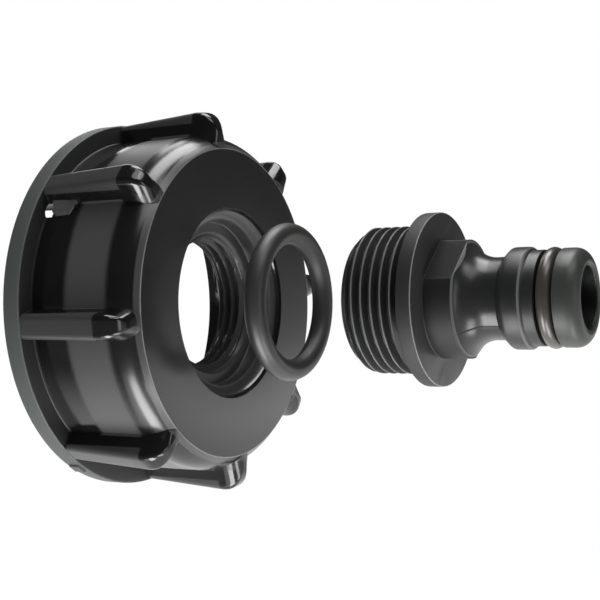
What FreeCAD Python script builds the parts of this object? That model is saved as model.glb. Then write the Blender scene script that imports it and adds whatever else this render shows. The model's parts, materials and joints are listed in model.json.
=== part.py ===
import FreeCAD, Part
import math
import os
import re

import Sketcher

os.makedirs("parts", exist_ok=True)

# Tank adapter for a coarse-threaded tank outlet, drawn taken apart along one axis.
# X runs along that axis, from the cap's open tank end at 0 towards the hose nipple.
# Z is up. All sizes are in millimetres and angles in degrees.

doc = FreeCAD.newDocument("tank_adapter")
sheet = doc.addObject("Spreadsheet::Sheet", "sizes")

DRIVING_SIZES = [
    ("cap_height", 26.0, "tank end to the flat face of the cap"),
    ("coarse_radius", 30.1, "root radius of the coarse tank thread"),
    ("coarse_pitch", 6.0, "advance of the coarse thread in one turn"),
    ("coarse_ridge", 2.4, "height of the coarse thread's ridge"),
    ("coarse_lead_in", 2.0, "length of the plain relief before the coarse thread"),
    ("coarse_relief", 0.4, "radius of that relief beyond the thread's root"),
    ("coarse_run_out", 2.2, "plain wall between the coarse thread and the tank seal"),
    ("coarse_foot", 3.8, "width of the ridge where it leaves the wall"),
    ("coarse_crest", 1.3, "width of the ridge at its crest"),
    ("coarse_flank", 0.4, "run of the ridge's steep flank"),
    ("coarse_root", 0.5, "how deep the ridge is rooted in the wall"),
    ("cap_wall", 2.6, "wall of the barrel"),
    ("flange_overhang", 3.5, "flange beyond the barrel"),
    ("flange_depth", 3.7, "thickness of the flange at the tank end"),
    ("shoulder_radius", 5.8, "rounding between barrel and face"),
    ("shoulder_drop", 1.9, "barrel radius less the radius where the bevel starts"),
    ("face_bevel", 0.8, "bevel round the flat face"),
    ("flange_round", 0.6, "rounding of the flange's two edges"),
    ("end_wall", 3.2, "thickness of the cap's end wall"),
    ("seat_height", 17.0, "tank end to the seat of the tank seal"),
    ("seat_width", 5.5, "width of the annular seat"),
    ("boss_wall", 2.6, "wall round the recess for the connector flange"),
    ("boss_length", 7.0, "length of the threaded boss below the recess"),
    ("recess_depth", 5.0, "depth of the recess in the face"),
    ("recess_gap", 0.8, "radial gap round the connector flange in its recess"),
    ("mouth_round", 2.4, "rounding at the mouth of the recess"),
    ("bore_chamfer", 0.6, "chamfer at the mouth of the pipe thread"),
    ("thread_gap", 0.09, "radial gap in the pipe thread"),
    ("rib_count", 8, "grip ribs round the cap"),
    ("rib_phase", 6.4, "first rib from straight up, towards the front"),
    ("rib_half_width", 2.35, "half the width of a rib at its crown"),
    ("rib_draft", 0.7, "how much wider each side of a rib is at its foot"),
    ("rib_round", 1.2, "rounding along a rib's crown"),
    ("rib_foot_drop", 0.3, "rib crown below the flange's edge at the flange"),
    ("rib_rise", 1.0, "rib crown above the flange's edge at the nose"),
    ("nose_length", 4.6, "length over which a rib runs down to the face"),
    ("nose_dip", 0.2, "how far a nose runs below the edge of the face"),
    ("nose_fullness", 0.8, "power of a nose's outline, 1 for an ellipse and less for fuller"),
    ("nose_point", 0.1, "share of a rib's width that is left at its nose's point"),
    ("rib_root", 1.0, "how deep a rib is rooted in the barrel"),
    ("vent_radius", 2.0, "radius of the small opening at the barrel's foot"),
    ("vent_angle", 58.0, "opening from straight up, towards the front"),
    ("vent_inset", 1.2, "centre of that opening inside the barrel's outside"),
    ("vent_reach", 1.4, "how far that opening goes on in the barrel's wall"),
    ("seal_thickness", 3.0, "thickness of the flat tank seal"),
    ("seal_width", 5.3, "width of the tank seal's ring"),
    ("seal_gap", 0.6, "tank seal's edge to the wall round it"),
    ("thread_radius", 13.22, "crest radius of the pipe thread"),
    ("connector_standoff", 16.65, "loose ring to the threaded end, taken apart"),
    ("thread_length", 12.0, "threaded end to the connector flange"),
    ("thread_chamfer", 1.9, "lead-in at the threaded end"),
    ("thread_pitch", 1.814, "advance of the pipe thread in one turn"),
    ("thread_depth", 1.16, "depth of the pipe thread's groove"),
    ("thread_flat", 0.3, "width of the pipe thread's crest and of its root"),
    ("thread_run_out", 0.2, "plain wall between the pipe thread's groove and the flange"),
    ("flange_width", 2.18, "connector flange beyond the thread's crest"),
    ("flange_thickness", 2.75, "thickness of the connector flange"),
    ("flange_edge", 0.4, "rounding of the connector flange's edges"),
    ("grip_radius", 10.4, "round part with the spanner flats"),
    ("grip_length", 5.2, "length of the round part"),
    ("flat_depth", 1.4, "depth of each spanner flat in the round part"),
    ("flat_angle", 40.0, "normal of a flat from straight up, towards the front"),
    ("flare_length", 4.5, "concave run from the grip to the neck"),
    ("flare_step", 0.5, "step in from the round part to the flare"),
    ("neck_wall", 1.85, "wall of the neck behind the nipple"),
    ("neck_length", 1.9, "straight length of the neck"),
    ("collar_ramp", 1.6, "cone from the neck up to the collar"),
    ("collar_rise", 0.39, "collar beyond the nipple's nose"),
    ("collar_length", 2.8, "length of the collar"),
    ("collar_bevel", 0.6, "bevel from the collar down to the band"),
    ("band_length", 1.9, "band between collar and ring groove"),
    ("band_drop", 0.19, "band below the nipple's nose"),
    ("nose_radius", 8.37, "nipple's nose"),
    ("nose_straight", 2.0, "straight part of the nose"),
    ("nose_land", 0.37, "flat ring between the nose's rounding and the mouth"),
    ("groove_depth", 2.39, "depth of the ring groove below the nose"),
    ("groove_play", 0.5, "length of the ring groove beyond its ring"),
    ("groove_wall", 0.68, "wall between the ring groove and the passage"),
    ("mouth_chamfer", 0.4, "chamfer of the passage at the nose"),
    ("entry_wall", 4.22, "thread's crest to the wider passage inside it"),
    ("entry_length", 13.0, "length of the wider passage"),
    ("entry_cone", 3.7, "cone from the wider passage to the narrow one"),
    ("ring_stretch", 2.32, "how much the loose ring's hole grows over the thread"),
    ("ring_section", 2.05, "section radius of the loose sealing ring"),
    ("ring_standoff", 12.75, "cap face to the loose ring, taken apart"),
    ("nipple_ring_section", 1.3, "section radius of the nipple's ring"),
    ("ring_gap", 0.03, "gap between the nipple's ring and its groove"),
]

for row, (alias, value, meaning) in enumerate(DRIVING_SIZES, start=1):
    sheet.set("A%d" % row, meaning)
    sheet.set("B%d" % row, str(value))
    sheet.setAlias("B%d" % row, alias)
doc.recompute()

ALIASES = sorted((alias for alias, value, meaning in DRIVING_SIZES), key=len, reverse=True)
ALIAS_WORD = re.compile(r"\b(" + "|".join(ALIASES) + r")\b")


def sized(text):
    """An expression in sheet aliases, as the expression engine reads it."""
    return ALIAS_WORD.sub(r"sizes.\1", str(text))


def number(text):
    """The present value of an expression in sheet aliases."""
    value = sheet.evalExpression(sized(text))
    return float(getattr(value, "Value", value))


def origin_plane(body, role):
    """One of the body's own origin planes or axes."""
    return next(item for item in body.Origin.OriginFeatures if item.Role == role)


def sketch_on(body, name, role, offset="0", turn="0"):
    """A sketch on a plane of the body, moved along the plane's normal and turned."""
    sketch = body.newObject("Sketcher::SketchObject", name)
    sketch.AttachmentSupport = [(origin_plane(body, role), "")]
    sketch.MapMode = "FlatFace"
    sketch.setExpression("AttachmentOffset.Base.z", sized(offset))
    sketch.setExpression("AttachmentOffset.Rotation.Angle", sized(turn))
    return sketch


def arc_between(start, end, radius, centre_on_left):
    """The short arc from start to end, and whether it runs anticlockwise."""
    chord = end - start
    half = chord.Length / 2
    reach = math.sqrt(max(radius * radius - half * half, 0))
    across = FreeCAD.Vector(-chord.y, chord.x, 0).normalize()
    centre = (start + end) * 0.5 + across * (reach if centre_on_left else -reach)
    first, last = (start, end) if centre_on_left else (end, start)
    angles = [math.atan2(point.y - centre.y, point.x - centre.x) for point in (first, last)]
    if angles[1] < angles[0]:
        angles[1] += 2 * math.pi
    return Part.ArcOfCircle(Part.Circle(centre, FreeCAD.Vector(0, 0, 1), radius), *angles)


def bind_point(sketch, geometry, end, across, along):
    """Ties one end of an edge to two expressions."""
    for kind, text in (("DistanceX", across), ("DistanceY", along)):
        rule = Sketcher.Constraint(kind, -1, 1, geometry, end, number(text))
        sketch.setExpression("Constraints[%d]" % sketch.addConstraint(rule), sized(text))


def closed_outline(sketch, steps):
    """
    Draws a closed outline. Each step is (x, y) for a corner, or (x, y, radius, side)
    where the edge that leaves the corner is an arc with its centre on that side.
    """
    points = [FreeCAD.Vector(number(step[0]), number(step[1]), 0) for step in steps]
    ends = []
    for index, step in enumerate(steps):
        start, end = points[index], points[(index + 1) % len(points)]
        if len(step) == 2:
            sketch.addGeometry(Part.LineSegment(start, end))
            ends.append((1, 2))
        else:
            on_left = step[3] == "left"
            sketch.addGeometry(arc_between(start, end, number(step[2]), on_left))
            ends.append((1, 2) if on_left else (2, 1))
    for index, step in enumerate(steps):
        after = (index + 1) % len(steps)
        joint = Sketcher.Constraint("Coincident", index, ends[index][1], after, ends[after][0])
        sketch.addConstraint(joint)
        bind_point(sketch, index, ends[index][0], step[0], step[1])
        if len(step) == 4:
            bow = Sketcher.Constraint("Radius", index, number(step[2]))
            sketch.setExpression("Constraints[%d]" % sketch.addConstraint(bow), sized(step[2]))


def new_body(label):
    body = doc.addObject("PartDesign::Body", label)
    body.Label = label
    return body


def turned(body, name, steps):
    """A full revolution of an outline, drawn with x along the axis and y outwards."""
    sketch = sketch_on(body, name + "_section", "XY_Plane")
    closed_outline(sketch, steps)
    feature = body.newObject("PartDesign::Revolution", name)
    feature.Profile = sketch
    feature.ReferenceAxis = (sketch, ["H_Axis"])
    feature.Angle = 360
    doc.recompute()
    return feature


def volume_after(body, before, grows):
    """Stops the build when a feature has not changed its body as it should."""
    doc.recompute()
    volume = body.Shape.Volume
    assert (volume > before) if grows else (volume < before), body.Label
    return volume


# Cap: one moulding with a tank end flange, a barrel, a rounded shoulder and a flat face.
# Inside it has the coarse thread's wall, an annular seat for the flat seal and a threaded
# boss, with a moulding pocket between boss and seat.
BARREL = "(coarse_radius + cap_wall)"
RIM = "(coarse_radius + cap_wall + flange_overhang)"
LIP = "(coarse_radius + cap_wall - shoulder_drop)"
BEVEL_START = "(cap_height - face_bevel)"
SHOULDER_RUN = "sqrt(2 * shoulder_radius * shoulder_drop - shoulder_drop * shoulder_drop)"
RECESS = "(thread_radius + flange_width + recess_gap)"
RECESS_FLOOR = "(cap_height - recess_depth)"
BORE = "(thread_radius + thread_gap)"
RELIEF = "(coarse_radius + coarse_relief)"
SEAL_FACE = "(seat_height - seal_thickness)"

cap = new_body("cap")
turned(cap, "cap_shell", [
    ("0", RELIEF),
    ("0", RIM + " - flange_round", "flange_round", "right"),
    ("flange_round", RIM),
    ("flange_depth - flange_round", RIM, "flange_round", "right"),
    ("flange_depth", RIM + " - flange_round"),
    ("flange_depth", BARREL),
    (BEVEL_START + " - " + SHOULDER_RUN, BARREL, "shoulder_radius", "right"),
    (BEVEL_START, LIP),
    ("cap_height", LIP + " - face_bevel"),
    ("cap_height", RECESS + " + mouth_round", "mouth_round", "left"),
    ("cap_height - mouth_round", RECESS),
    (RECESS_FLOOR, RECESS),
    (RECESS_FLOOR, BORE + " + bore_chamfer"),
    (RECESS_FLOOR + " - bore_chamfer", BORE),
    (RECESS_FLOOR + " - boss_length", BORE),
    (RECESS_FLOOR + " - boss_length", RECESS + " + boss_wall"),
    ("cap_height - end_wall", RECESS + " + boss_wall"),
    ("cap_height - end_wall", "coarse_radius - seat_width"),
    ("seat_height", "coarse_radius - seat_width"),
    ("seat_height", "coarse_radius"),
    ("coarse_lead_in", "coarse_radius"),
    ("coarse_lead_in", RELIEF),
])
cap_volume = cap.Shape.Volume


# Grip ribs: a straight drafted run from the flange, then a nose that narrows and drops to
# the edge of the face. Each section is a trapezoid with a rounded crown.
def rib_section(name, station, crown, half_width, foot, rounding):
    sketch = sketch_on(cap, name, "YZ_Plane", station, "rib_phase")
    closed_outline(sketch, [
        ("-(%s) - rib_draft" % half_width, foot),
        ("%s + rib_draft" % half_width, foot),
        (half_width, "%s - (%s)" % (crown, rounding), rounding, "left"),
        ("%s - (%s)" % (half_width, rounding), crown),
        ("-(%s) + (%s)" % (half_width, rounding), crown, rounding, "left"),
        ("-(%s)" % half_width, "%s - (%s)" % (crown, rounding)),
    ])
    return sketch


def rib_loft(name, sections):
    loft = cap.newObject("PartDesign::AdditiveLoft", name)
    loft.Profile = sections[0]
    loft.Sections = [(section, [""]) for section in sections[1:]]
    return loft


RIB_FOOT = "(%s - rib_root)" % BARREL
FLANGE_CROWN = "(%s - rib_foot_drop)" % RIM
CROWN = "(%s + rib_rise)" % RIM
NOSE_START = "(cap_height - nose_length)"
NOSE_DROP = "(%s - %s + nose_dip)" % (CROWN, LIP)
root_section = rib_section("rib_root", "flange_depth / 2", FLANGE_CROWN,
                           "rib_half_width", RIB_FOOT, "rib_round")
shoulder_section = rib_section("rib_shoulder", NOSE_START, CROWN,
                               "rib_half_width", RIB_FOOT, "rib_round")
nose_start_section = rib_section("nose_0", NOSE_START, CROWN,
                                 "rib_half_width", RIB_FOOT, "rib_round")
nose_sections = []
for step, angle in enumerate((30, 55, 75, 88), start=1):
    forward = "%s + nose_length * sin(%d deg) ^ nose_fullness" % (NOSE_START, angle)
    height = "cos(%d deg) ^ nose_fullness" % angle
    crown = "(%s - %s * (1 - %s))" % (CROWN, NOSE_DROP, height)
    taper = "(nose_point + (1 - nose_point) * %s)" % height
    width = "(rib_half_width * %s)" % taper
    rounding = "(rib_round * %s)" % taper
    foot = "(%s - shoulder_drop * (1 - cos(%d deg)))" % (RIB_FOOT, angle)
    nose_sections.append(rib_section("nose_%d" % step, forward, crown, width, foot, rounding))
rib_run = rib_loft("rib_run", [root_section, shoulder_section])
rib_nose = rib_loft("rib_nose", [nose_start_section] + nose_sections)
cap_volume = volume_after(cap, cap_volume, True)

ribs = cap.newObject("PartDesign::PolarPattern", "ribs")
ribs.Originals = [rib_run, rib_nose]
ribs.Axis = (origin_plane(cap, "X_Axis"), [""])
ribs.Angle = 360
ribs.setExpression("Occurrences", sized("rib_count"))
cap.Tip = ribs
cap_volume = volume_after(cap, cap_volume, True)

# Vent: a small round opening at the barrel's foot, from the flange into the tank end.
vent_sketch = sketch_on(cap, "vent_circle", "YZ_Plane", "0", "vent_angle")
vent_centre = "%s - vent_inset" % BARREL
circle = Part.Circle(FreeCAD.Vector(0, number(vent_centre), 0), FreeCAD.Vector(0, 0, 1),
                     number("vent_radius"))
vent_sketch.addGeometry(circle)
bind_point(vent_sketch, 0, 3, "0", vent_centre)
vent_rule = vent_sketch.addConstraint(Sketcher.Constraint("Radius", 0, number("vent_radius")))
vent_sketch.setExpression("Constraints[%d]" % vent_rule, sized("vent_radius"))
vent = cap.newObject("PartDesign::Pocket", "vent")
vent.Profile = vent_sketch
vent.setExpression("Length", sized("flange_depth + vent_reach"))
vent.Reversed = True
cap_volume = volume_after(cap, cap_volume, False)

# Coarse tank thread: a buttress ridge, wound inwards from the wall along a helix.
ridge_sketch = sketch_on(cap, "ridge_section", "XY_Plane")
RIDGE_ROOT = "coarse_radius + coarse_root"
RIDGE_CREST = "coarse_radius - coarse_ridge"
closed_outline(ridge_sketch, [
    ("coarse_lead_in", RIDGE_ROOT),
    ("coarse_lead_in + coarse_foot - coarse_flank - coarse_crest", RIDGE_CREST),
    ("coarse_lead_in + coarse_foot - coarse_flank", RIDGE_CREST),
    ("coarse_lead_in + coarse_foot", RIDGE_ROOT),
])
ridge = cap.newObject("PartDesign::AdditiveHelix", "coarse_ridge_turns")
ridge.Profile = ridge_sketch
ridge.ReferenceAxis = (ridge_sketch, ["H_Axis"])
ridge.Mode = "pitch-height-angle"
ridge.setExpression("Pitch", sized("coarse_pitch"))
COARSE_RUN = "(%s - coarse_run_out - coarse_foot - coarse_lead_in)" % SEAL_FACE
ridge.setExpression("Height", sized(COARSE_RUN))
cap_volume = volume_after(cap, cap_volume, True)

# Tank seal: a flat rubber washer that lies on the annular seat inside the cap.
tank_seal = new_body("tank_seal")
SEAL_EDGE = "(coarse_radius - seal_gap)"
turned(tank_seal, "tank_seal_ring", [
    (SEAL_FACE, SEAL_EDGE + " - seal_width"),
    (SEAL_FACE, SEAL_EDGE),
    ("seat_height", SEAL_EDGE),
    ("seat_height", SEAL_EDGE + " - seal_width"),
])

# Connector: one moulding with a pipe thread, a flange, spanner flats, a neck and a nipple.
RING_PLACE = "(cap_height + ring_standoff)"
THREAD_START = "(%s + connector_standoff)" % RING_PLACE
FLANGE_BACK = "(%s + thread_length)" % THREAD_START
FLANGE_FRONT = "(%s + flange_thickness)" % FLANGE_BACK
GRIP_END = "(%s + grip_length)" % FLANGE_FRONT
NECK_START = "(%s + flare_length)" % GRIP_END
NECK_END = "(%s + neck_length)" % NECK_START
COLLAR_START = "(%s + collar_ramp)" % NECK_END
COLLAR_END = "(%s + collar_length)" % COLLAR_START
BAND_END = "(%s + collar_bevel + band_length)" % COLLAR_END
GROOVE_LENGTH = "(2 * nipple_ring_section + groove_play)"
GROOVE_END = "(%s + %s)" % (BAND_END, GROOVE_LENGTH)
NOSE_TURN = "(%s + nose_straight)" % GROOVE_END
NOSE_ROUND = "(groove_depth + groove_wall - mouth_chamfer - nose_land)"
NIPPLE_END = "(%s + %s)" % (NOSE_TURN, NOSE_ROUND)
ENTRY_END = "(%s + entry_length)" % THREAD_START
FLANGE_RIM = "(thread_radius + flange_width)"
GROOVE = "(nose_radius - groove_depth)"
WATERWAY = "(%s - groove_wall)" % GROOVE
NECK = "(%s + neck_wall)" % WATERWAY
COLLAR = "(nose_radius + collar_rise)"
BAND = "(nose_radius - band_drop)"
ENTRY = "(thread_radius - entry_wall)"

connector = new_body("connector")
turned(connector, "connector_shell", [
    (THREAD_START, ENTRY),
    (THREAD_START, "thread_radius - thread_chamfer"),
    (THREAD_START + " + thread_chamfer", "thread_radius"),
    (FLANGE_BACK, "thread_radius"),
    (FLANGE_BACK, FLANGE_RIM + " - flange_edge", "flange_edge", "right"),
    (FLANGE_BACK + " + flange_edge", FLANGE_RIM),
    (FLANGE_FRONT + " - flange_edge", FLANGE_RIM, "flange_edge", "right"),
    (FLANGE_FRONT, FLANGE_RIM + " - flange_edge"),
    (FLANGE_FRONT, "grip_radius"),
    (GRIP_END, "grip_radius"),
    (GRIP_END, "grip_radius - flare_step", "flare_length * 1.25", "left"),
    (NECK_START, NECK),
    (NECK_END, NECK),
    (COLLAR_START, COLLAR),
    (COLLAR_END, COLLAR),
    (COLLAR_END + " + collar_bevel", BAND),
    (BAND_END, BAND),
    (BAND_END, GROOVE),
    (GROOVE_END, GROOVE),
    (GROOVE_END, "nose_radius"),
    (NOSE_TURN, "nose_radius", NOSE_ROUND, "right"),
    (NIPPLE_END, "nose_radius - " + NOSE_ROUND),
    (NIPPLE_END, WATERWAY + " + mouth_chamfer"),
    (NIPPLE_END + " - mouth_chamfer", WATERWAY),
    (ENTRY_END + " + entry_cone", WATERWAY),
    (ENTRY_END, ENTRY),
])
connector_volume = connector.Shape.Volume

# Pipe thread: one helical groove with 55 degree flanks, from before the end to the run-out.
groove_sketch = sketch_on(connector, "thread_groove_section", "XY_Plane")
FIRST_GROOVE = "(%s - thread_pitch / 2)" % THREAD_START
FLANK_SLOPE = "((thread_pitch - 2 * thread_flat) / 2 / thread_depth)"
MOUTH = "(thread_flat / 2 + (thread_depth + thread_gap) * %s)" % FLANK_SLOPE
closed_outline(groove_sketch, [
    ("%s - thread_flat / 2" % FIRST_GROOVE, "thread_radius - thread_depth"),
    ("%s + thread_flat / 2" % FIRST_GROOVE, "thread_radius - thread_depth"),
    ("%s + %s" % (FIRST_GROOVE, MOUTH), "thread_radius + thread_gap"),
    ("%s - %s" % (FIRST_GROOVE, MOUTH), "thread_radius + thread_gap"),
])
pipe_thread = connector.newObject("PartDesign::SubtractiveHelix", "pipe_thread")
pipe_thread.Profile = groove_sketch
pipe_thread.ReferenceAxis = (groove_sketch, ["H_Axis"])
pipe_thread.Mode = "pitch-height-angle"
pipe_thread.setExpression("Pitch", sized("thread_pitch"))
LAST_GROOVE = "(thread_length - thread_run_out - %s)" % MOUTH
pipe_thread.setExpression("Height", sized("%s + thread_pitch / 2" % LAST_GROOVE))
connector_volume = volume_after(connector, connector_volume, False)

flat_sketch = sketch_on(connector, "flat_outline", "YZ_Plane", FLANGE_FRONT, "flat_angle")
for side in ("", "-"):
    first = flat_sketch.GeometryCount
    corners = [("-grip_radius", "%s(grip_radius - flat_depth)" % side),
               ("grip_radius", "%s(grip_radius - flat_depth)" % side),
               ("grip_radius", "%s(grip_radius * 1.1)" % side),
               ("-grip_radius", "%s(grip_radius * 1.1)" % side)]
    points = [FreeCAD.Vector(number(across), number(out), 0) for across, out in corners]
    for index, corner in enumerate(corners):
        flat_sketch.addGeometry(Part.LineSegment(points[index], points[(index + 1) % 4]))
    for index, corner in enumerate(corners):
        after = first + (index + 1) % 4
        flat_sketch.addConstraint(Sketcher.Constraint("Coincident", first + index, 2, after, 1))
        bind_point(flat_sketch, first + index, 1, corner[0], corner[1])
flats = connector.newObject("PartDesign::Pocket", "spanner_flats")
flats.Profile = flat_sketch
flats.setExpression("Length", sized("grip_length + flare_length"))
flats.Reversed = True
connector_volume = volume_after(connector, connector_volume, False)


# Rings: the loose sealing ring between cap and connector, and the ring in the nipple's groove.
def rubber_ring(label, place, centre_radius, section_radius):
    ring = doc.addObject("Part::Torus", label)
    ring.Label = label
    ring.setExpression("Radius1", sized(centre_radius))
    ring.setExpression("Radius2", sized(section_radius))
    ring.Placement.Rotation = FreeCAD.Rotation(FreeCAD.Vector(0, 1, 0), 90)
    ring.setExpression("Placement.Base.x", sized(place))
    return ring


seal_ring = rubber_ring("seal_ring", RING_PLACE, "thread_radius - ring_stretch + ring_section",
                        "ring_section")
nipple_ring = rubber_ring("nipple_ring", "%s + %s / 2" % (BAND_END, GROOVE_LENGTH),
                          GROOVE + " + nipple_ring_section + ring_gap",
                          "nipple_ring_section")
doc.recompute()

for item in doc.Objects:
    assert "Invalid" not in item.State and "Error" not in item.State, item.Name
for piece in (cap, tank_seal, connector, seal_ring, nipple_ring):
    shape = piece.Shape
    assert not shape.isNull() and shape.isValid() and len(shape.Solids) == 1, piece.Label
    print(piece.Label, "volume %.1f mm3" % shape.Volume, "box", shape.BoundBox)
    shape.exportStep("parts/%s.step" % piece.Label)
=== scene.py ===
import json
from math import atan2, cos, pi, radians, sin, sqrt

import bmesh
import bpy
from mathutils import Matrix, Quaternion, Vector

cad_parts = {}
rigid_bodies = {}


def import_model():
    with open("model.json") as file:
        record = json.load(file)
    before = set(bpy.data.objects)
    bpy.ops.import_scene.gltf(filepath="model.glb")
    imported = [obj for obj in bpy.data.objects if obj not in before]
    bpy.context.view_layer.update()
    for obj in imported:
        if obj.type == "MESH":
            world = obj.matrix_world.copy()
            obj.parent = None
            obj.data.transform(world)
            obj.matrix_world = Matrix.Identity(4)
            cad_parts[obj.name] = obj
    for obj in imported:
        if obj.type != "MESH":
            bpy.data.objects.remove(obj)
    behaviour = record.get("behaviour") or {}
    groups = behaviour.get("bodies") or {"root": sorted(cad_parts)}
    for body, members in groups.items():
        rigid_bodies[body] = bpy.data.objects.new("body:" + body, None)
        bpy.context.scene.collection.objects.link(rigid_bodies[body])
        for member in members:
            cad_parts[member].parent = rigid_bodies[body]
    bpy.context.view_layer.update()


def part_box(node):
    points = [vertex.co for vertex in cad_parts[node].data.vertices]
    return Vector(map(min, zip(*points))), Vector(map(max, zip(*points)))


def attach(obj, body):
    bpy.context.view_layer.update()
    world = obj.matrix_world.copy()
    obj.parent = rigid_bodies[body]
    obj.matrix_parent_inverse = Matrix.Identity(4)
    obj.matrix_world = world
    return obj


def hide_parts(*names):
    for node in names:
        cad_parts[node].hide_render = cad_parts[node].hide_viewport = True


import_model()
scene = bpy.context.scene
MM = 0.001

# Camera: a long lens nearly level with the axis of the parts, a little ahead of their side,
# so that the cap's face, the bore and the nipple's mouth are all seen.
CAMERA_PLACE = Vector((0.14808, -0.19214, -0.00117))
CAMERA_LOOK = Vector((-0.4874, 0.8732, 0.0068))
CAMERA_ROLL = radians(-0.70)
FOCAL_LENGTH = 69.9
SENSOR_WIDTH = 36.0
NEAREST = 0.01

camera = bpy.data.objects.new("camera", bpy.data.cameras.new("camera"))
camera.data.lens = FOCAL_LENGTH
camera.data.sensor_width = SENSOR_WIDTH
camera.data.clip_start = NEAREST
camera.location = CAMERA_PLACE
camera.rotation_mode = "QUATERNION"
level = CAMERA_LOOK.to_track_quat("-Z", "Y")
camera.rotation_quaternion = level @ Quaternion((0, 0, 1), CAMERA_ROLL)
scene.collection.objects.link(camera)
scene.camera = camera
scene.view_settings.view_transform = "Standard"

# Studio: a white paper floor under the hanging parts and a white surround, both pure white to
# the lens. Shiny parts mirror them too, but less: the room is dim above the sweep and behind
# the lens, the paper fades with distance, and in front of the parts it is mirrored as a grey
# card, so that black plastic stays black.
FLOOR_DROP = 0.12
FLOOR_REACH = 4.0
SHADE_RADIUS = 0.32
PAPER_NEAR = 0.6
PAPER_FAR = 2.0
PAPER_FAR_GLOSS = 0.30
CARD_FROM = -0.03
CARD_TO = -0.15
CARD_GLOSS = 0.22
SWEEP_FOOT = -0.12
SWEEP_TOP = 0.09
SWEEP_GLOSS = 1.0
BEYOND_FROM = -0.30
BEYOND_TO = 0.35
ROOM_GLOSS = 0.06
FILL_BELOW = 0.50
FILL_ABOVE = 0.95
WHITE = 1.0


def linear(colour):
    """A linear colour with alpha from sRGB hex."""
    channels = [int(colour[i:i + 2], 16) / 255 for i in (1, 3, 5)]
    return [c / 12.92 if c <= 0.04045 else ((c + 0.055) / 1.055) ** 2.4 for c in channels] + [1.0]


def add_node(tree, kind, inputs=None, **settings):
    """Adds a node with its settings. An input takes a value, or the socket that feeds it."""
    node = tree.nodes.new(kind)
    for name, value in settings.items():
        setattr(node, name, value)
    for key, value in (inputs or {}).items():
        if isinstance(value, bpy.types.NodeSocket):
            tree.links.new(value, node.inputs[key])
        else:
            node.inputs[key].default_value = value
    return node


world = bpy.data.worlds.new("studio")
world.use_nodes = True
scene.world = world
tree = world.node_tree
tree.nodes.clear()
place = add_node(tree, "ShaderNodeTexCoord").outputs["Generated"]
direction = add_node(tree, "ShaderNodeSeparateXYZ", {0: place})
sweep = add_node(tree, "ShaderNodeMapRange",
                 {0: direction.outputs["Z"], 1: SWEEP_FOOT, 2: SWEEP_TOP, 3: SWEEP_GLOSS, 4: ROOM_GLOSS},
                 interpolation_type="SMOOTHSTEP")
beyond = add_node(tree, "ShaderNodeMapRange", {0: direction.outputs["Y"], 1: BEYOND_FROM, 2: BEYOND_TO},
                  interpolation_type="SMOOTHSTEP")
mirrored = add_node(tree, "ShaderNodeMix", {0: beyond.outputs[0], 2: ROOM_GLOSS, 3: sweep.outputs[0]},
                    data_type="FLOAT")
path = add_node(tree, "ShaderNodeLightPath")
by_shine = add_node(tree, "ShaderNodeMath",
                    {0: path.outputs["Is Glossy Ray"], 1: path.outputs["Is Transmission Ray"]},
                    operation="MAXIMUM")
fill = add_node(tree, "ShaderNodeMapRange",
                {0: direction.outputs["Z"], 1: -1.0, 2: 1.0, 3: FILL_BELOW, 4: FILL_ABOVE})
unseen = add_node(tree, "ShaderNodeMix",
                  {0: by_shine.outputs[0], 2: fill.outputs[0], 3: mirrored.outputs[0]}, data_type="FLOAT")
strength = add_node(tree, "ShaderNodeMix",
                    {0: path.outputs["Is Camera Ray"], 2: unseen.outputs[0], 3: WHITE}, data_type="FLOAT")
surround = add_node(tree, "ShaderNodeBackground",
                    {"Color": linear("#ffffff"), "Strength": strength.outputs[0]})
add_node(tree, "ShaderNodeOutputWorld", {"Surface": surround.outputs[0]})

floor_mesh = bpy.data.meshes.new("floor")
corners = [(x * FLOOR_REACH, y * FLOOR_REACH, -FLOOR_DROP)
           for x, y in ((-1, -1), (1, -1), (1, 1), (-1, 1))]
floor_mesh.from_pydata(corners, [], [(0, 1, 2, 3)])
floor = bpy.data.objects.new("floor", floor_mesh)
scene.collection.objects.link(floor)
paper = bpy.data.materials.new("white_sweep_paper")
paper.use_nodes = True
tree = paper.node_tree
tree.nodes.clear()
place = add_node(tree, "ShaderNodeTexCoord").outputs["Object"]
reach = add_node(tree, "ShaderNodeVectorMath", {0: place}, operation="LENGTH").outputs["Value"]
floor_y = add_node(tree, "ShaderNodeSeparateXYZ", {0: place}).outputs["Y"]
path = add_node(tree, "ShaderNodeLightPath")
mirrored = path.outputs["Is Glossy Ray"]
clear = add_node(tree, "ShaderNodeMapRange", {0: reach, 1: 0.5 * SHADE_RADIUS, 2: SHADE_RADIUS},
                 interpolation_type="SMOOTHSTEP")
seen = add_node(tree, "ShaderNodeMath", {0: path.outputs["Is Camera Ray"], 1: mirrored}, operation="MAXIMUM")
lit = add_node(tree, "ShaderNodeMath", {0: seen.outputs[0], 1: clear.outputs[0]}, operation="MULTIPLY")
faded = add_node(tree, "ShaderNodeMapRange",
                 {0: reach, 1: PAPER_NEAR, 2: PAPER_FAR, 3: WHITE, 4: PAPER_FAR_GLOSS},
                 interpolation_type="SMOOTHSTEP")
strength = add_node(tree, "ShaderNodeMix", {0: mirrored, 2: WHITE, 3: faded.outputs[0]}, data_type="FLOAT")
matt = add_node(tree, "ShaderNodeBsdfDiffuse", {"Color": linear("#f4f4f4")})
white = add_node(tree, "ShaderNodeEmission", {"Color": linear("#ffffff"), "Strength": strength.outputs[0]})
bare = add_node(tree, "ShaderNodeMixShader", {0: lit.outputs[0], 1: matt.outputs[0], 2: white.outputs[0]})
ahead = add_node(tree, "ShaderNodeMapRange", {0: floor_y, 1: CARD_FROM, 2: CARD_TO},
                 interpolation_type="SMOOTHSTEP")
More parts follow.
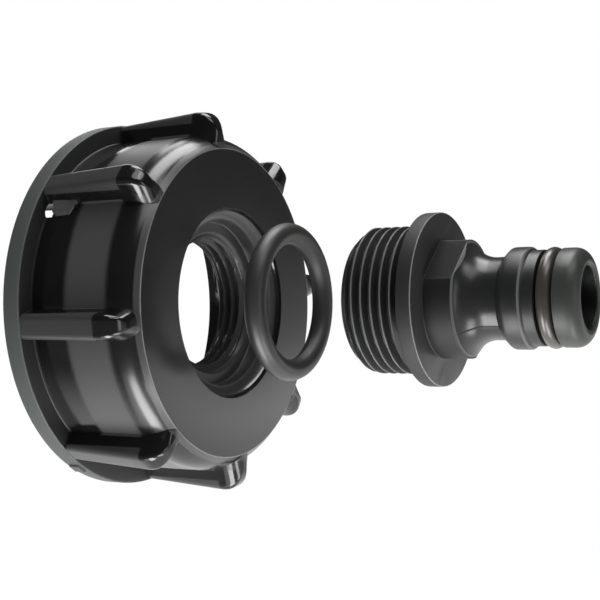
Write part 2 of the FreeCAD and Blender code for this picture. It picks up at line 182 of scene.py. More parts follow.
covered = add_node(tree, "ShaderNodeMath", {0: mirrored, 1: ahead.outputs[0]}, operation="MULTIPLY")
grey = add_node(tree, "ShaderNodeEmission", {"Color": linear("#ffffff"), "Strength": CARD_GLOSS})
carded = add_node(tree, "ShaderNodeMixShader",
                  {0: covered.outputs[0], 1: bare.outputs[0], 2: grey.outputs[0]})
add_node(tree, "ShaderNodeOutputMaterial", {"Surface": carded.outputs[0]})
floor_mesh.materials.append(paper)


def softbox(name, centre, target, size, watts):
    """A rectangular lamp that faces a target and that the lens does not see."""
    lamp = bpy.data.lights.new(name, "AREA")
    lamp.shape = "RECTANGLE"
    lamp.size, lamp.size_y = size
    lamp.energy = watts
    stand = bpy.data.objects.new(name, lamp)
    stand.location = centre
    stand.rotation_mode = "QUATERNION"
    stand.rotation_quaternion = (Vector(target) - Vector(centre)).to_track_quat("-Z", "Y")
    stand.visible_camera = False
    scene.collection.objects.link(stand)


# Softboxes stand overhead, small lamps and a card below the parts, and a card at the right.
softbox("top_softbox", (0.045, 0.09, 0.42), (0.045, 0.06, 0), (0.21, 0.36), 2.1)
softbox("left_softbox", (-0.18, 0.23, 0.42), (0.0, 0.05, 0), (0.14, 0.18), 0.30)
softbox("back_softbox", (-0.42, 0.36, 0.34), (0.02, 0, 0), (0.16, 0.16), 0.3)
softbox("table_light", (0.048, -0.065, -0.115), (0.048, -0.05, 0), (0.05, 0.11), 0.25)
softbox("table_glow", (0.002, -0.07, -0.115), (0.002, -0.05, 0), (0.04, 0.12), 0.03)
softbox("table_spot", (0.140, -0.030, -0.115), (0.140, -0.02, 0), (0.05, 0.09), 0.14)
softbox("right_softbox", (0.38, 0.0, 0.40), (0.04, 0, 0), (0.14, 0.14), 0.30)
softbox("front_softbox", (0.24, -0.10, 0.34), (0.06, 0, 0), (0.20, 0.20), 0.42)
softbox("low_card", (0.36, 0.50, -0.085), (0.03, 0, -0.02), (0.30, 0.07), 0.10)
softbox("side_card", (0.70, -0.06, 0.02), (0.03, 0, 0), (0.14, 0.40), 0.5)

# Cap: one polypropylene moulding that screws on a bulk tank's outlet by a coarse buttress
# thread, with eight grip ribs that end in pointed noses. The shell is one turned mesh with both
# threads cut in it. The ribs, a gusset and the gate mark are joined to it, and a vent is cut.
CAP_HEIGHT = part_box("cap")[1][0] / MM
COARSE_RADIUS = 30.1
BARREL = COARSE_RADIUS + 2.6
RIM = BARREL + 3.5
SHOULDER_DROP = 1.9
LIP = BARREL - SHOULDER_DROP
FLANGE_DEPTH = 3.7
SHOULDER_RADIUS = 5.8
FACE_BEVEL = 0.8
RECESS = 16.2
RECESS_FLOOR = CAP_HEIGHT - 5.0
MOUTH_ROUND = 2.4
BORE = 13.31
BORE_BEVEL = 0.6
BOSS_END = RECESS_FLOOR - 7.0
BOSS = RECESS + 2.6
SEAT = 17.0
SEAT_HOLE = COARSE_RADIUS - 5.5
END_WALL = CAP_HEIGHT - 3.2
RELIEF_DEPTH = 2.0
RELIEF = COARSE_RADIUS + 0.4
PITCH = 25.4 / 14
THREAD_DEPTH = 1.16
THREAD_FLAT = 0.3 / PITCH
FLANK_PLAY = 0.12
THREAD_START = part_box("connector")[0][0] / MM
TRAVEL = 42.2
LEAD_IN = 0.9
LEAD_OUT = 1.0
COARSE_PITCH = 6.0
COARSE_RIDGE = 2.4
COARSE_FOOT = 3.8
COARSE_SLOPE = 2.1
COARSE_STEEP = 0.4
RIDGE_END = 0.12
RIDGE_GAP = 0.02
CAP_SIDES = 320
ROUND_SHARE = 0.45

# Lengths within SAME of each other count as equal, and points within TWIN as one.
SAME = 0.01
TWIN = 0.0001


def bow(start, end, radius, side, steps=10):
    """Points of an arc from start to end; side is +1 when its centre lies to the left."""
    (x0, y0), (x1, y1) = start, end
    half = sqrt((x1 - x0) ** 2 + (y1 - y0) ** 2) / 2
    reach = side * sqrt(max(radius ** 2 - half ** 2, 0))
    cx = (x0 + x1) / 2 - (y1 - y0) / (2 * half) * reach
    cy = (y0 + y1) / 2 + (x1 - x0) / (2 * half) * reach
    first, last = atan2(y0 - cy, x0 - cx), atan2(y1 - cy, x1 - cx)
    arc = (last - first + pi) % (2 * pi) - pi
    return [(cx + radius * cos(first + arc * i / steps),
             cy + radius * sin(first + arc * i / steps)) for i in range(steps + 1)]


def eased(corners, steps=3):
    """An outline with its corners rounded. Each is (x, r) or (x, r, rounding)."""
    points = []
    for index, corner in enumerate(corners):
        here = Vector(corner[:2])
        before = Vector(corners[index - 1][:2]) - here
        after = Vector(corners[(index + 1) % len(corners)][:2]) - here
        rounding = corner[2] if len(corner) > 2 else 0.0
        reach = min(rounding, ROUND_SHARE * before.length, ROUND_SHARE * after.length)
        if reach <= 0:
            points.append(tuple(here))
            continue
        start, end = here + before.normalized() * reach, here + after.normalized() * reach
        for i in range(steps + 1):
            t = i / steps
            point = start * (1 - t) ** 2 + here * 2 * t * (1 - t) + end * t ** 2
            points.append(tuple(point))
    return points


def cut_fine(points, radius, low, high, step):
    """Divides the one edge that runs along x at a radius, so that a thread can be cut in it."""
    result = []
    for index, (x0, y0) in enumerate(points):
        x1, y1 = points[(index + 1) % len(points)]
        result.append((x0, y0))
        on_wall = abs(y0 - radius) < SAME and abs(y1 - radius) < SAME
        if on_wall and low - SAME <= min(x0, x1) and max(x0, x1) <= high + SAME:
            parts = max(1, round(abs(x1 - x0) / step))
            result += [(x0 + (x1 - x0) * i / parts, y0) for i in range(1, parts)]
    return result


def as_mesh(shell, name):
    """A mesh from a bmesh, with its faces turned outward."""
    bmesh.ops.recalc_face_normals(shell, faces=shell.faces)
    mesh = bpy.data.meshes.new(name)
    shell.to_mesh(mesh)
    shell.free()
    return mesh


def built(name, points, faces):
    """A mesh from points in millimetres and faces, with the faces turned outward."""
    draft = bpy.data.meshes.new("draft")
    draft.from_pydata([(x * MM, y * MM, z * MM) for x, y, z in points], [], faces)
    shell = bmesh.new()
    shell.from_mesh(draft)
    bpy.data.meshes.remove(draft)
    return as_mesh(shell, name)


def turned(name, outline, sides, shape=None):
    """A closed piece of revolution about X. shape(x, r, angle) may move a point in or out."""
    points, faces, rows = [], [], len(outline)
    for j in range(sides):
        angle = 2 * pi * j / sides
        after = (j + 1) % sides
        for i, (x, r) in enumerate(outline):
            k = (i + 1) % rows
            radius = shape(x, r, angle) if shape else r
            points.append((x, radius * cos(angle), radius * sin(angle)))
            faces.append((j * rows + i, j * rows + k, after * rows + k, after * rows + i))
    piece = bpy.data.objects.new(name, built(name, points, faces))
    scene.collection.objects.link(piece)
    return piece


def ramp(value, low, high):
    """0 below low, 1 above high and straight between them."""
    return min(1.0, max(0.0, (value - low) / (high - low)))


def crest(x, angle, play=0.0):
    """Height of a right-handed pipe thread, from 0 in its root to 1 on its crest."""
    share = ((x - THREAD_START) / PITCH - angle / (2 * pi)) % 1.0
    return ramp(abs(2 * share - 1), THREAD_FLAT - play, 1 - THREAD_FLAT - play)


def cap_threads(x, r, angle):
    """Cuts the pipe thread in the boss, so that the connector's fits in it once its travel has
    brought it home, and winds the coarse ridge inside the wall."""
    if abs(r - BORE) < SAME and BOSS_END < x < RECESS_FLOOR:
        mouth = RECESS_FLOOR - BORE_BEVEL
        fade = min(ramp(x, BOSS_END, BOSS_END + LEAD_IN), 1 - ramp(x, mouth - LEAD_OUT, mouth))
        return r - THREAD_DEPTH * (1 - crest(x + TRAVEL, angle, FLANK_PLAY)) * fade
    if abs(r - COARSE_RADIUS) < SAME and RELIEF_DEPTH < x < SEAT:
        along = x - RELIEF_DEPTH - COARSE_PITCH * angle / (2 * pi)
        rise = min(ramp(along, 0.0, COARSE_SLOPE), 1 - ramp(along, COARSE_FOOT - COARSE_STEEP, COARSE_FOOT))
        ends = min(ramp(angle, 0.0, RIDGE_END), 1 - ramp(angle, 2 * pi - RIDGE_END, 2 * pi - RIDGE_GAP))
        return r - COARSE_RIDGE * rise * ends
    return r


face_edge = CAP_HEIGHT - FACE_BEVEL
shoulder_start = face_edge - sqrt(2 * SHOULDER_RADIUS * SHOULDER_DROP - SHOULDER_DROP ** 2)
cap_outline = eased([(0, RELIEF, 0.2), (0, RIM, 0.5), (FLANGE_DEPTH, RIM, 0.35),
                     (FLANGE_DEPTH, BARREL, 0.3), (shoulder_start, BARREL)])
cap_outline += bow((shoulder_start, BARREL), (face_edge, LIP), SHOULDER_RADIUS, -1, 14)[1:-1]
cap_outline += eased([(face_edge - SAME, LIP + SAME), (face_edge, LIP, 0.16),
                      (CAP_HEIGHT, LIP - FACE_BEVEL, 0.22), (CAP_HEIGHT, RECESS + MOUTH_ROUND + SAME)])[1:]
cap_outline += bow((CAP_HEIGHT, RECESS + MOUTH_ROUND), (CAP_HEIGHT - MOUTH_ROUND, RECESS), MOUTH_ROUND, 1)
cap_outline += eased([(CAP_HEIGHT - MOUTH_ROUND - SAME, RECESS), (RECESS_FLOOR, RECESS, 0.5),
                      (RECESS_FLOOR, BORE + BORE_BEVEL, 0.15), (RECESS_FLOOR - BORE_BEVEL, BORE),
                      (BOSS_END, BORE), (BOSS_END, BOSS, 0.3), (END_WALL, BOSS, 0.4),
                      (END_WALL, SEAT_HOLE, 0.4), (SEAT, SEAT_HOLE, 0.3), (SEAT, COARSE_RADIUS),
                      (RELIEF_DEPTH, COARSE_RADIUS), (RELIEF_DEPTH, RELIEF)])
cap_outline = [p for i, p in enumerate(cap_outline)
               if abs(p[0] - cap_outline[i - 1][0]) + abs(p[1] - cap_outline[i - 1][1]) > TWIN]
cap_outline = cut_fine(cap_outline, BORE, BOSS_END, RECESS_FLOOR, PITCH / 14)
cap_outline = cut_fine(cap_outline, COARSE_RADIUS, RELIEF_DEPTH, SEAT, 0.4)
cap_outline = cut_fine(cap_outline, BARREL, FLANGE_DEPTH, shoulder_start, 2.0)
cap = turned("cap_moulding", cap_outline, CAP_SIDES, cap_threads)

RIB_COUNT = 8
RIB_PHASE = radians(6.4)
RIB_HALF = 2.35
RIB_DRAFT = 0.7
RIB_ROUND = 1.2
RIB_FOOT = BARREL - 1.0
RIB_START = RIM - 0.3
RIB_CROWN = RIM + 1.0
RIB_STEPS = 6
NOSE_LENGTH = 4.6
NOSE_DROP = RIB_CROWN - LIP + 0.2
NOSE_FULLNESS = 0.8
NOSE_TAPER = 1.6
NOSE_TIP = 0.1
NOSE_BENDS = (6, 12, 20, 28, 36, 44, 52, 60, 67, 74, 80, 85, 88)


def on_barrel(x, across, out, turn):
    """A place across a line on the barrel that stands at a turn from straight up."""
    return x, -out * sin(turn) - across * cos(turn), out * cos(turn) - across * sin(turn)


def rib_section(x, crown, half, foot, rounding, turn):
    """Corners of one rib section at x, as a trapezoid with a rounded crown."""
    right = bow((half, crown - rounding), (half - rounding, crown), rounding, 1, 8)
    left = [(-across, out) for across, out in reversed(right)]
    feet = [(-half - RIB_DRAFT, foot), (half + RIB_DRAFT, foot)]
    return [on_barrel(x, across, out, turn) for across, out in feet + right + left]


def rib(turn):
    """One grip rib, from inside the flange to the point of its nose."""
    rib_start, nose_start = FLANGE_DEPTH / 2, CAP_HEIGHT - NOSE_LENGTH
    sections = []
    for i in range(RIB_STEPS + 1):
        x = rib_start + (nose_start - rib_start) * i / RIB_STEPS
        crown = RIB_START + (RIB_CROWN - RIB_START) * i / RIB_STEPS
        sections.append(rib_section(x, crown, RIB_HALF, RIB_FOOT, RIB_ROUND, turn))
    for bend in map(radians, NOSE_BENDS):
        height = cos(bend) ** NOSE_FULLNESS
        narrow = NOSE_TIP + (1 - NOSE_TIP) * height ** NOSE_TAPER
        sections.append(rib_section(nose_start + NOSE_LENGTH * sin(bend) ** NOSE_FULLNESS,
                                    RIB_CROWN - NOSE_DROP * (1 - height), RIB_HALF * narrow,
                                    RIB_FOOT - SHOULDER_DROP * (1 - cos(bend)), RIB_ROUND * narrow, turn))
    count, last = len(sections[0]), len(sections) - 1
    faces = [tuple(reversed(range(count))), tuple(range(last * count, last * count + count))]
    for i in range(last):
        for j in range(count):
            k = (j + 1) % count
            faces.append((i * count + j, i * count + k, (i + 1) * count + k, (i + 1) * count + j))
    return built("rib", [point for section in sections for point in section], faces)


def block(name, corners, turn, radius):
    """A convex block from corners (x, across, out), set on a radius at a turn from straight up."""
    shell = bmesh.new()
    for x, across, out in corners:
        shell.verts.new(Vector(on_barrel(x, across, radius + out, turn)) * MM)
    bmesh.ops.convex_hull(shell, input=shell.verts)
    return as_mesh(shell, name)


def join_by(piece, tool_meshes, operation):
    """Unites or subtracts meshes, one boolean for them all, and keeps only the result."""
    bench = bpy.data.collections.new("bench")
    scene.collection.children.link(bench)
    for mesh in tool_meshes:
        bench.objects.link(bpy.data.objects.new("tool", mesh))
    cut = piece.modifiers.new("cut", "BOOLEAN")
    cut.operand_type = "COLLECTION"
    cut.collection = bench
    cut.operation = operation
    cut.solver = "EXACT"
    bpy.context.view_layer.update()
    made = bpy.data.meshes.new_from_object(piece.evaluated_get(bpy.context.evaluated_depsgraph_get()))
    piece.modifiers.clear()
    piece.data = made
    for item in list(bench.objects):
        bpy.data.objects.remove(item)
    bpy.data.collections.remove(bench)


def smoothed(piece, angle):
    """Smooth shading with sharp edges above an angle in degrees."""
    piece.data.polygons.foreach_set("use_smooth", [True] * len(piece.data.polygons))
    piece.data.set_sharp_from_angle(angle=radians(angle))


GUSSET_TURN = RIB_PHASE + 2 * pi / RIB_COUNT
GATE_TURN = radians(149.5)
VENT_TURN = radians(58.0)
VENT_PLACE = BARREL - 1.2
VENT_RADIUS = 2.0
VENT_DEPTH = 2 * (FLANGE_DEPTH + 1.4)
VENT_SIDES = 40

ribs = [rib(RIB_PHASE + 2 * pi * i / RIB_COUNT) for i in range(RIB_COUNT)]
gusset = block("gusset", [(5.9, 1.5, -1), (10.2, 1.5, -1), (6.2, 5.4, -1), (9.2, 5.2, -1),
                          (5.9, 1.5, 2.8), (7.9, 1.5, 2.6), (6.1, 3.6, 2.0), (7.5, 3.9, 1.5), (9.8, 1.5, 0.9),
                          (6.2, 5.3, 0.6), (8.8, 4.9, 0.4)], GUSSET_TURN, BARREL)
gate_mark = block("gate_mark", [(x, across, out) for x in (0.9, 3.1) for across, out in
                                ((-1.5, -0.4), (1.5, -0.4), (-1.2, 0.35), (1.0, 0.45))], GATE_TURN, RIM)
join_by(cap, ribs + [gusset, gate_mark], "UNION")
drill = bmesh.new()
bmesh.ops.create_cone(drill, cap_ends=True, segments=VENT_SIDES, radius1=VENT_RADIUS * MM,
                      radius2=VENT_RADIUS * MM, depth=VENT_DEPTH * MM)
drill_place = Vector(on_barrel(0, 0, VENT_PLACE, VENT_TURN)) * MM
bmesh.ops.transform(drill, verts=drill.verts,
                    matrix=Matrix.Translation(drill_place) @ Matrix.Rotation(pi / 2, 4, "Y"))
join_by(cap, [as_mesh(drill, "vent")], "DIFFERENCE")
smoothed(cap, 32)

# Black polypropylene, injection moulded: polished steel gives the glossy barrel and shoulder, a
# satin band runs round it, and spark-eroded steel leaves a fine matt grain on face and rim. The
# crowns of the ribs are rubbed grey, and the gusset's outer faces are painted a lighter grey. The
# face's bevelled edge and its inner corner are painted light, as painted highlights, and the
# bore is painted lighter, a painted stand-in for highlights on its walls.
SATIN_FROM = 11.4
SATIN_TO = 20.4
CROWN_TO = 21.0
SHOULDER_FROM = 20.6
CAP_CLOUD = 11.1
CAP_GRAIN = 0.35
POLISHED_GRAIN = 0.03
ERODED_GRAIN = 0.35
PATCH_LOW = 0.3
PATCH_HIGH = 0.7
PLASTIC_IOR = 1.49


def moulded(name, colour, roughness, specular=0.5):
    """A moulding to finish: its material, tree, shader and object coordinates."""
    material = bpy.data.materials.new(name)
    material.use_nodes = True
    tree = material.node_tree
    tree.nodes.clear()
    shader = add_node(tree, "ShaderNodeBsdfPrincipled",
                      {"Base Color": linear(colour), "Roughness": roughness, "IOR": PLASTIC_IOR,
                       "Specular IOR Level": specular})
    add_node(tree, "ShaderNodeOutputMaterial", {"Surface": shader.outputs[0]})
    return material, tree, shader, add_node(tree, "ShaderNodeTexCoord").outputs["Object"]


def measured(tree, place):
    """The ways to measure a spot: along x, y and z, and out from the axis."""
    spot = add_node(tree, "ShaderNodeSeparateXYZ", {0: place})
    crosswise = add_node(tree, "ShaderNodeCombineXYZ", {0: 0.0, 1: spot.outputs[1], 2: spot.outputs[2]})
    out = add_node(tree, "ShaderNodeVectorMath", {0: crosswise.outputs[0]}, operation="LENGTH")
    return {"x": spot.outputs[0], "y": spot.outputs[1], "z": spot.outputs[2], "out": out.outputs["Value"]}


def zone(tree, ways, **limits):
    """1 inside all the limits and 0 outside. Each is (low, high, soft) along its way, in mm."""
    inside = 1.0
    for way, (low, high, soft) in limits.items():
        for edge, before, after in ((low, 0.0, 1.0), (high, 1.0, 0.0)):
            side = add_node(tree, "ShaderNodeMapRange",
                            {0: ways[way], 1: (edge - soft) * MM, 2: (edge + soft) * MM, 3: before, 4: after},
                            interpolation_type="SMOOTHSTEP")
            inside = add_node(tree, "ShaderNodeMath", {0: inside, 1: side.outputs[0]},
                              operation="MULTIPLY").outputs[0]
    return inside


def mottled(tree, place, width, detail, shade=None, roughness=None):
    """Layers that drift to a colour or a roughness in soft clouds some millimetres wide."""
    cloud = add_node(tree, "ShaderNodeTexNoise",
                     {"Vector": place, "Scale": 1 / (width * MM), "Detail": detail}).outputs["Fac"]
    layers = [(cloud, shade, None)]
    if roughness:
        patch = add_node(tree, "ShaderNodeMapRange", {0: cloud, 1: PATCH_LOW, 2: PATCH_HIGH})
        layers.append((patch.outputs[0], None, roughness))
    return layers


def layered(tree, shader, colour, rough, layers):
    """Lays layers (mask, colour, roughness) over a base. None leaves what lies below."""
    colour = linear(colour)
    for mask, shade, roughness in layers:
        if shade:
            colour = add_node(tree, "ShaderNodeMix", {0: mask, 6: colour, 7: linear(shade)},
                              data_type="RGBA").outputs[2]
        if roughness:
            rough = add_node(tree, "ShaderNodeMix", {0: mask, 2: rough, 3: roughness},
                             data_type="FLOAT").outputs[0]
    for name, value in (("Base Color", colour), ("Roughness", rough)):
        if isinstance(value, bpy.types.NodeSocket):
            tree.links.new(value, shader.inputs[name])


def grained(tree, shader, place, width, height, strength):
    """A fine grain in the skin, its width and height in millimetres. It is drawn coarser than
    the real one, so that it shows."""
    grain = add_node(tree, "ShaderNodeTexNoise",
                     {"Vector": place, "Scale": 1 / (width * MM), "Detail": 2.0})
    bump = add_node(tree, "ShaderNodeBump",
                    {"Distance": height * MM, "Strength": strength, "Height": grain.outputs["Fac"]})
    tree.links.new(bump.outputs[0], shader.inputs["Normal"])


material, tree, shader, place = moulded("polypropylene_black_moulded", "#151616", 0.2)
ways = measured(tree, place)
satin = zone(tree, ways, x=(SATIN_FROM, SATIN_TO, 0.8), out=(BARREL - 0.7, BARREL + 0.5, 0.1))
rim = zone(tree, ways, x=(-1, FLANGE_DEPTH + 0.2, 0.1), out=(RIM - 0.3, RIM + 4, 0.1))
face = zone(tree, ways, x=(CAP_HEIGHT - 0.15, CAP_HEIGHT + 1, 0.1))
crown = zone(tree, ways, x=(FLANGE_DEPTH + 0.2, CROWN_TO, 0.3), out=(RIM - 1, RIM + 4, 0.2))
shoulder = zone(tree, ways, x=(SHOULDER_FROM, CAP_HEIGHT - 1, 0.25), out=(LIP - 0.8, BARREL + 0.3, 0.1))
# The bore and recess are painted lighter grey, a painted stand-in for highlights on their walls, and are made
# rougher.
bore = zone(tree, ways, x=(BOSS_END - 0.5, CAP_HEIGHT - 0.6, 0.2), out=(5, RECESS + 2, 0.2))
# The face's bevelled edge is painted lighter, a painted sheen, and its inner corner gets a light line, a
# painted highlight.
painted_bevel_sheen = zone(tree, ways, x=(face_edge - 0.1, CAP_HEIGHT + 0.2, 0.12), out=(LIP - 0.9, LIP + 0.4, 0.08))
painted_lip_highlight = zone(tree, ways, x=(CAP_HEIGHT - 0.15, CAP_HEIGHT + 0.2, 0.05),
           out=(LIP - FACE_BEVEL - 0.15, LIP - FACE_BEVEL + 0.05, 0.06))
corner = zone(tree, ways, x=(FLANGE_DEPTH - 0.4, FLANGE_DEPTH + 0.5, 0.1), out=(BARREL - 1.7, RIM - 0.4, 0.1))
# The gusset's outer faces are painted a lighter grey.
facets = zone(tree, ways, x=(5.7, 10.3, 0.1), y=(-34.0, -25.0, 0.1), z=(15.4, 18.9, 0.1),
              out=(BARREL + 0.15, RIM - 0.6, 0.08))
layered(tree, shader, "#0b0b0b", 0.10, mottled(tree, place, CAP_CLOUD, 3.0, roughness=0.17) + [
    (shoulder, None, 0.24), (corner, None, 0.5), (satin, "#353535", 0.42), (crown, "#2b2b2b", 0.38),
    (bore, "#242424", 0.28), (rim, "#363938", 0.62), (face, "#181818", 0.26), (painted_bevel_sheen, "#2c2c2c", 0.30),
    (painted_lip_highlight, "#565756", None), (facets, "#343434", 0.45)])
eroded = add_node(tree, "ShaderNodeMath", {0: rim, 1: face}, operation="MAXIMUM")
grain_depth = add_node(tree, "ShaderNodeMix", {0: eroded.outputs[0], 2: POLISHED_GRAIN, 3: ERODED_GRAIN},
                       data_type="FLOAT")
grained(tree, shader, place, CAP_GRAIN, height=0.04, strength=grain_depth.outputs[0])
cap.data.materials.append(material)
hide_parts("cap")
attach(cap, "cap")

# Tank seal: a flat rubber washer, cut from sheet, that lies loose on the seat inside the cap.
# The sheet is matt, with a dusty bloom in patches and a fine skin.
seal_low, seal_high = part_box("tank_seal")
SEAL_EDGE = seal_high[1] / MM
SEAL_HOLE = SEAL_EDGE - 5.3
SEAL_ROUND = 0.25
SEAL_CLOUD = 16.7
SEAL_GRAIN = 0.4
SEAL_SIDES = 160

seal_corners = [(seal_low[0], SEAL_HOLE), (seal_low[0], SEAL_EDGE), (seal_high[0], SEAL_EDGE),
                (seal_high[0], SEAL_HOLE)]
seal_outline = eased([(x / MM, r, SEAL_ROUND) for x, r in seal_corners])
seal = turned("tank_seal_washer", seal_outline, SEAL_SIDES)
smoothed(seal, 50)
material, tree, shader, place = moulded("rubber_black_sheet", "#1b1b1a", 0.62, 0.4)
layered(tree, shader, "#151514", 0.62, mottled(tree, place, SEAL_CLOUD, 5.0, shade="#242422"))
grained(tree, shader, place, SEAL_GRAIN, height=0.03, strength=0.4)
seal.data.materials.append(material)
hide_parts("tank_seal")
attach(seal, "cap")

# Loose sealing ring: nitrile rubber, moulded in two halves, with the fine flash line of the
# mould round its outside and inside. It goes over the thread, under the connector's flange.
# The rubber has a soft sheen that handling has wiped duller in patches.
RING_CLOUD = 22.2
RING_GRAIN = 0.33


def rubber_ring(name, box, flash, steps, sides):
    """A round ring that fills a box, with a fine raised line outermost and innermost."""
    low, high = box
    section = (high[0] - low[0]) / 2 / MM
    middle = (high[0] + low[0]) / 2 / MM
    centre = high[1] / MM - section
    outline = []
    for i in range(steps):
        angle = 2 * pi * i / steps
        reach = section - flash if i % (steps // 2) else section
        outline.append((middle + reach * sin(angle), centre + reach * cos(angle)))
    piece = turned(name, outline, sides)
    smoothed(piece, 80)
    return piece


ring = rubber_ring("loose_sealing_ring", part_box("seal_ring"), flash=0.03, steps=48, sides=240)
material, tree, shader, place = moulded("nitrile_rubber_moulded", "#1f1e1d", 0.42, 0.5)
layered(tree, shader, "#181818", 0.36,
        mottled(tree, place, RING_CLOUD, 4.0, shade="#242322", roughness=0.50))
grained(tree, shader, place, RING_GRAIN, height=0.02, strength=0.3)
ring.data.materials.append(material)
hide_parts("seal_ring")
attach(ring, "seal_ring")

# Connector: one glass-filled nylon moulding with a three-quarter inch pipe thread, a flange,
# a round grip with two spanner flats, a waisted neck and the nipple for a hose coupling.
# The body is turned with its thread, and the flats are cut by one boolean.
THREAD_RADIUS = 13.22
NIPPLE_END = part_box("connector")[1][0] / MM
FLANGE_BACK = THREAD_START + 12.0
LAST_GROOVE = FLANGE_BACK - 1.0
FLANGE_FRONT = FLANGE_BACK + 2.75
FLANGE_RIM = THREAD_RADIUS + 2.18
GRIP = 10.4
GRIP_END = FLANGE_FRONT + 5.2
FLAT_DISTANCE = GRIP - 1.4
FLAT_ANGLE = radians(40.0)
FLAT_CUT = 6.0
FLAT_SPAN = 30.0
FLARE = 4.5
FLARE_FOOT = GRIP - 0.5
FLARE_RADIUS = 1.25 * FLARE
NECK = 7.15
NECK_START = GRIP_END + FLARE
NECK_END = NECK_START + 1.9
COLLAR = 8.76
COLLAR_START = NECK_END + 1.6
COLLAR_END = COLLAR_START + 2.8
COLLAR_BEVEL = 0.6
NOSE = 8.37
BAND = NOSE - 0.19
BAND_END = COLLAR_END + 2.5
GROOVE = NOSE - 2.39
GROOVE_END = BAND_END + 3.1
NOSE_ROUND = 2.3
NOSE_TURN = NIPPLE_END - NOSE_ROUND
WATERWAY = 5.3
MOUTH_BEVEL = 0.4
ENTRY = 9.0
ENTRY_END = THREAD_START + 13.0
ENTRY_TAPER = 3.7
CHAMFER = 1.9
CONNECTOR_SIDES = 320
RUN_OUT = 0.15
SEAM_TURN = radians(139.5)
SEAM_HALF = 0.012
SEAM_HEIGHT = 0.08


def connector_shape(x, r, angle):
    """Cuts the thread, and raises the fine seam that the two mould halves leave."""
    if abs(r - THREAD_RADIUS) < SAME and THREAD_START < x < FLANGE_BACK:
        share = ((x - THREAD_START) / PITCH - angle / (2 * pi)) % 1.0
        fade = 1 - ramp(x - (share - 0.5) * PITCH, LAST_GROOVE - RUN_OUT, LAST_GROOVE)
        lead = THREAD_RADIUS - CHAMFER + (x - THREAD_START)
        return min(r - THREAD_DEPTH * (1 - crest(x, angle)) * fade, lead)
    past_seam = (angle + SEAM_TURN) % pi
    on_seam = min(past_seam, pi - past_seam) < SEAM_HALF
    if on_seam and GRIP_END < x < COLLAR_START and r > WATERWAY + 1:
        return r + SEAM_HEIGHT
    return r


body_outline = eased([(THREAD_START, ENTRY, 0.3), (THREAD_START, THREAD_RADIUS - CHAMFER, 0.15),
                      (THREAD_START + 0.15, THREAD_RADIUS), (FLANGE_BACK, THREAD_RADIUS),
                      (FLANGE_BACK, FLANGE_RIM, 0.3), (FLANGE_FRONT, FLANGE_RIM, 0.25),
                      (FLANGE_FRONT, GRIP, 0.35), (GRIP_END, GRIP, 0.18)])
body_outline += bow((GRIP_END, FLARE_FOOT), (NECK_START, NECK), FLARE_RADIUS, 1, 12)
body_outline += eased([(NECK_END, NECK, 0.5), (COLLAR_START, COLLAR, 0.35), (COLLAR_END, COLLAR, 0.15),
                       (COLLAR_END + COLLAR_BEVEL, BAND, 0.1), (BAND_END, BAND, 0.18),
                       (BAND_END, GROOVE, 0.2), (GROOVE_END, GROOVE, 0.2), (GROOVE_END, NOSE, 0.25),
                       (NOSE_TURN, NOSE)])
body_outline += bow((NOSE_TURN, NOSE), (NIPPLE_END, NOSE - NOSE_ROUND), NOSE_ROUND, -1, 12)[1:]
body_outline += eased([(NIPPLE_END, WATERWAY + MOUTH_BEVEL, 0.12), (NIPPLE_END - MOUTH_BEVEL, WATERWAY, 0.12),
                       (ENTRY_END + ENTRY_TAPER, WATERWAY), (ENTRY_END, ENTRY)])
body_outline = cut_fine(body_outline, THREAD_RADIUS, THREAD_START, FLANGE_BACK, PITCH / 16)
connector = turned("connector_moulding", body_outline, CONNECTOR_SIDES, connector_shape)

cutters = []
for side in (1, -1):
    cutter = bmesh.new()
    bmesh.ops.create_cube(cutter, size=1.0)
    middle = (FLANGE_FRONT + NECK_START) / 2 * MM
    out = side * (FLAT_DISTANCE + FLAT_CUT / 2) * MM
    length = (NECK_START - FLANGE_FRONT) * MM
    cutter_place = (Matrix.Rotation(FLAT_ANGLE, 4, "X") @ Matrix.Translation((middle, 0, out))
                    @ Matrix.Diagonal((length, FLAT_SPAN * MM, FLAT_CUT * MM, 1)))
    bmesh.ops.transform(cutter, verts=cutter.verts, matrix=cutter_place)
    cutters.append(as_mesh(cutter, "flat"))
join_by(connector, cutters, "DIFFERENCE")
smoothed(connector, 32)

# Black nylon with short glass fibres, injection moulded: the fibres near the skin give a grey
# satin, the neck is polished brighter and the flats duller. The crest lines of the thread and
# the outer edges of flange, grip and collar are painted light, as painted highlights, and the
# thread between them is painted darker, as painted shade in its grooves. The flange's front
# face is painted lighter, a painted reflection, and the waterway inside is painted near black,
# as painted shade.
NYLON_CLOUD = 9.1
FIBRE = 0.45
FIRST_CREST = THREAD_START + CHAMFER
LAST_CREST = LAST_GROOVE - 0.9

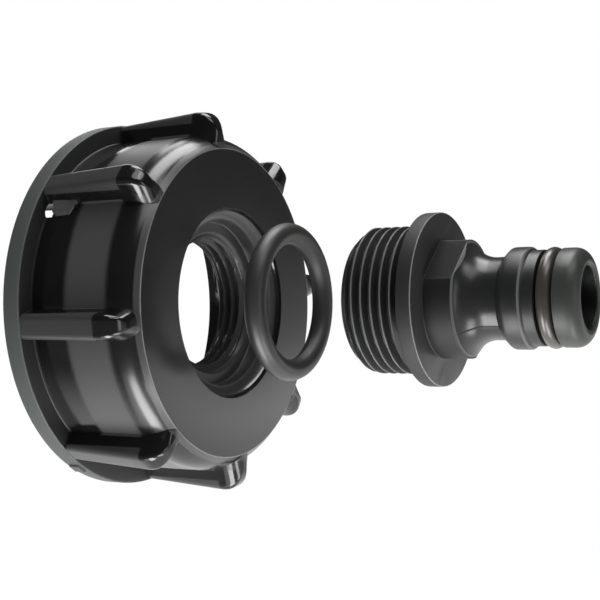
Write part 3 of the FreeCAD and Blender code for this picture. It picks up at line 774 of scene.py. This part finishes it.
material, tree, shader, place = moulded("glass_filled_nylon_black", "#1d1e1e", 0.34, 0.35)
ways = measured(tree, place)
grip = zone(tree, ways, x=(FLANGE_FRONT + 0.15, GRIP_END - 0.1, 0.08))
flats = zone(tree, ways, x=(FLANGE_FRONT + 0.15, GRIP_END - 0.1, 0.08), out=(-1, GRIP - 0.08, 0.03))
flare = zone(tree, ways, x=(GRIP_END, NECK_END + 0.8, 0.1))
# The flange's front face is painted lighter grey, a painted reflection.
painted_flange_face_light = zone(tree, ways, x=(FLANGE_FRONT - 0.2, FLANGE_FRONT + 0.1, 0.05),
           out=(GRIP + 0.2, FLANGE_RIM - 0.2, 0.1))
nose = zone(tree, ways, x=(GROOVE_END - 0.2, NIPPLE_END + 1, 0.2))
# The waterway inside is painted near black, as painted shade.
inside = zone(tree, ways, x=(ENTRY_END + 1, NIPPLE_END - 0.25, 0.1), out=(-1, WATERWAY + 0.3, 0.1))
# The thread is painted darker, as painted shade in its grooves, and its crest lines light, as painted
# highlights.
threads = zone(tree, ways, x=(FIRST_CREST, FLANGE_BACK + 0.1, 0.1))
painted_crest_highlight = zone(tree, ways, x=(FIRST_CREST, LAST_CREST, 0.1), out=(THREAD_RADIUS - 0.05, 14, 0.04))
flange_side = zone(tree, ways, x=(FLANGE_BACK - 0.2, FLANGE_FRONT - 0.1, 0.1),
                   out=(FLANGE_RIM - 0.4, FLANGE_RIM + 1, 0.1))
# Thin light lines on the edges of flange, grip and collar are painted highlights.
painted_flange_edge_highlight = zone(tree, ways, x=(FLANGE_FRONT - 0.16, FLANGE_FRONT + 0.1, 0.04),
                   out=(FLANGE_RIM - 0.16, FLANGE_RIM + 1, 0.04))
painted_grip_edge_highlight = zone(tree, ways, x=(GRIP_END - 0.14, GRIP_END + 0.05, 0.06),
                 out=(GRIP - 1.5, GRIP + 1, 0.05))
painted_collar_edge_highlight = zone(tree, ways, x=(COLLAR_END - 0.05, COLLAR_END + 0.3, 0.06),
                   out=(COLLAR - 0.4, GRIP + 1, 0.05))
layers = mottled(tree, place, NYLON_CLOUD, 4.0, shade="#1c1d1c", roughness=0.48)
layered(tree, shader, "#131414", 0.34, layers + [
    (grip, "#0a0a0a", 0.62), (flats, None, 0.85), (flare, None, 0.27), (painted_flange_face_light, "#222322", None),
    (nose, "#262926", None), (inside, "#080808", None), (threads, "#0c0c0c", 0.6),
    (flange_side, None, 0.62), (painted_crest_highlight, "#444645", None), (painted_flange_edge_highlight, "#5e605f", None),
    (painted_grip_edge_highlight, "#454746", None), (painted_collar_edge_highlight, "#454746", None)])
grained(tree, shader, place, FIBRE, height=0.03, strength=0.2)
connector.data.materials.append(material)
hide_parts("connector")
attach(connector, "connector")

# Nipple ring: a small rubber ring that sits in the groove behind the nipple's nose. Grease
# makes it browner and shinier than the dry loose ring.
SMALL_CLOUD = 8.3

small = rubber_ring("nipple_sealing_ring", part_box("nipple_ring"), flash=0.02, steps=32, sides=200)
material, tree, shader, place = moulded("nitrile_rubber_greased", "#26221d", 0.30, 0.6)
layered(tree, shader, "#1e1c1a", 0.30, mottled(tree, place, SMALL_CLOUD, 3.0, shade="#332f29"))
small.data.materials.append(material)
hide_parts("nipple_ring")
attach(small, "connector")
